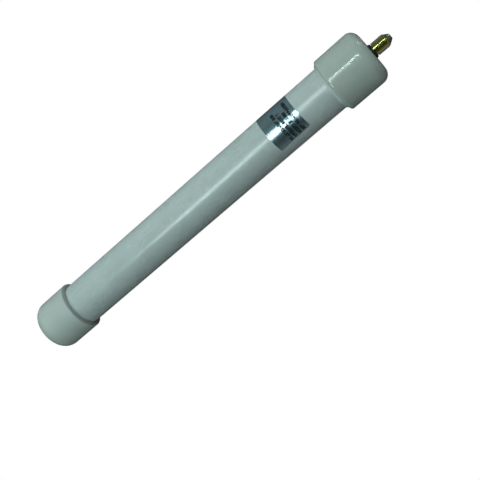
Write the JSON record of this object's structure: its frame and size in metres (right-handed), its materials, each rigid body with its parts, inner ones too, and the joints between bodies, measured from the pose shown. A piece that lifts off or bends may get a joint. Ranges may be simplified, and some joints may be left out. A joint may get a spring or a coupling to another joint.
{
  "type": "omnidirectional antenna",
  "caption": "Stick antenna: a printed dipole in a capped plastic pipe, with a threaded coaxial jack at the feed end and a foil label round the pipe.",
  "frame": {"origin": "centre of the feed cap's flat end face, where the coaxial jack leaves it", "axes": "+Z along the pipe from the jack to the closed top cap; -Y out through the middle of the label's text; +X round to the label's far edge"},
  "size_m": [0.0264, 0.0264, 0.2113],
  "materials": {
    "pipe_pvc": "satin grey-white PVC pipe",
    "cap_pvc": "moulded semi-gloss grey-white PVC",
    "silicone": "pale translucent silicone, smoothed by hand",
    "foil": null,
    "black_rubber": "matt black rubber",
    "gold": "gold plated, machined thread",
    "ptfe": "white PTFE",
    "epoxy": "cloudy amber potting resin",
    "nickel": "nickel plated, crimped",
    "shrink": "shrunk black tube",
    "jacket": "black cable sheath",
    "braid": "tinned copper braid",
    "polyethylene": "milky polyethylene",
    "core_copper": "bare drawn copper",
    "ferrite": "dark grey sintered ferrite",
    "fibreglass": "green solder mask over glass weave",
    "board_copper": "gilded printed copper",
    "solder": "bright tin solder",
    "foam": "fine closed-cell white foam"
  },
  "bodies": {
    "antenna": {"radome_tube": "pipe_pvc", "base_cap": "cap_pvc", "sealant_bead": "silicone", "label": "foil", "connector_seal": "black_rubber", "sma_body": "gold", "sma_dielectric": "ptfe", "sma_centre_contact": "gold", "epoxy_collar": "epoxy", "crimp_ferrule": "nickel", "heat_shrink": "shrink", "feed_cable_jacket": "jacket", "feed_cable_braid": "braid", "feed_cable_dielectric": "polyethylene", "feed_cable_core": "core_copper", "ferrite_bead_lower": "ferrite", "ferrite_bead_upper": "ferrite", "antenna_board": "fibreglass", "dipole_front_copper": "board_copper", "dipole_rear_copper": "board_copper", "core_solder": "solder", "braid_solder_left": "solder", "braid_solder_right": "solder", "foam_spacer_lower": "foam", "foam_spacer_middle": "foam", "foam_spacer_upper": "foam", "foam_end_pad": "foam"},
    "top_cap": {"top_cap": "cap_pvc"}
  },
  "joints": [
    {"name": "top_cap_pull", "type": "slide", "parent": "antenna", "child": "top_cap", "axis": [0, 0, 1], "range_m": [0, 0.03]}
  ]
}
